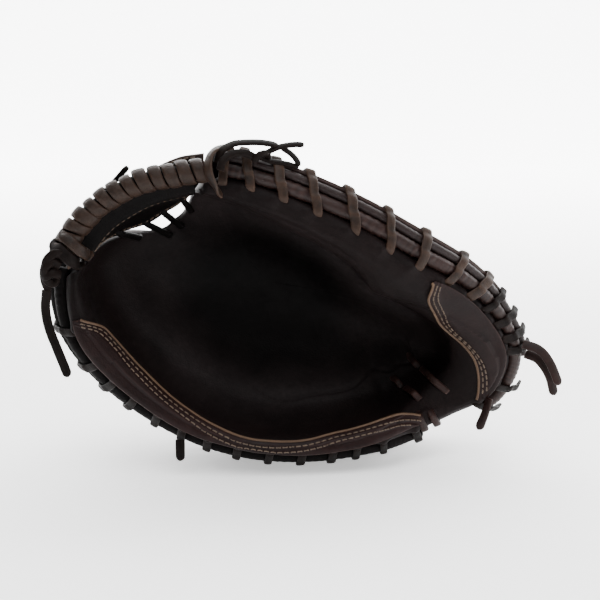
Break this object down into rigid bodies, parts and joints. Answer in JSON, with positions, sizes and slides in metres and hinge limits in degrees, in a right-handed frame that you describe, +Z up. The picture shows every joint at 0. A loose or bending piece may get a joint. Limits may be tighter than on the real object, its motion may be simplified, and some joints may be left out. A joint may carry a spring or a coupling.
{
  "type": "catcher mitt",
  "caption": "Padded catcher's mitt with a deep laced pocket and a wound web bar, lying on its thumb side with the mouth forward.",
  "frame": {"origin": "on the ground, below the middle of the mitt's box without its two hanging laces", "axes": "+Z up, -Y out of the mouth of the pocket, +X towards the heel of the mitt"},
  "size_m": [0.3362, 0.1512, 0.2194],
  "materials": {
    "shell_leather": "satin",
    "palm_leather": "satin",
    "binding_leather": "satin",
    "lace": "satin"
  },
  "bodies": {
    "root": {"crotch_lace_1": "lace", "crotch_lace_2": "lace", "crotch_lace_3": "lace", "crotch_lace_4": "lace", "finger_back": "shell_leather", "finger_binding": "binding_leather", "finger_knot": "lace", "finger_welt": "shell_leather", "heel_lower_tail": "lace", "heel_panel": "palm_leather", "heel_tail_1": "lace", "heel_tail_2": "lace", "hinge_lace_1": "lace", "hinge_lace_2": "lace", "hinge_lace_3": "lace", "hinge_lace_4": "lace", "palm": "palm_leather", "rim_lace_01": "lace", "rim_lace_02": "lace", "rim_lace_03": "lace", "rim_lace_04": "lace", "rim_lace_05": "lace", "rim_lace_06": "lace", "rim_lace_07": "lace", "rim_lace_08": "lace", "rim_lace_09": "lace", "rim_lace_10": "lace", "rim_lace_11": "lace", "rim_lace_12": "lace", "rim_lace_13": "lace", "rim_lace_14": "lace", "rim_lace_15": "lace", "rim_lace_16": "lace", "rim_lace_17": "lace", "rim_lace_18": "lace", "rim_lace_19": "lace", "rim_lace_20": "lace", "rim_lace_21": "lace", "rim_lace_22": "lace", "rim_lace_23": "lace", "rim_lace_24": "lace", "rim_lace_25": "lace", "rim_lace_26": "lace", "rim_lace_27": "lace", "rim_lace_28": "lace", "thumb_back": "shell_leather", "thumb_binding": "binding_leather", "thumb_knot": "lace", "thumb_lower_tail": "lace", "thumb_panel": "palm_leather", "thumb_tail_down": "lace", "thumb_tail_up": "lace", "thumb_welt": "shell_leather", "web_band": "shell_leather", "web_bar": "binding_leather", "web_loop": "lace", "web_panel": "shell_leather", "web_wrap": "lace", "wrist_strap": "shell_leather"}
  },
  "joints": []
}
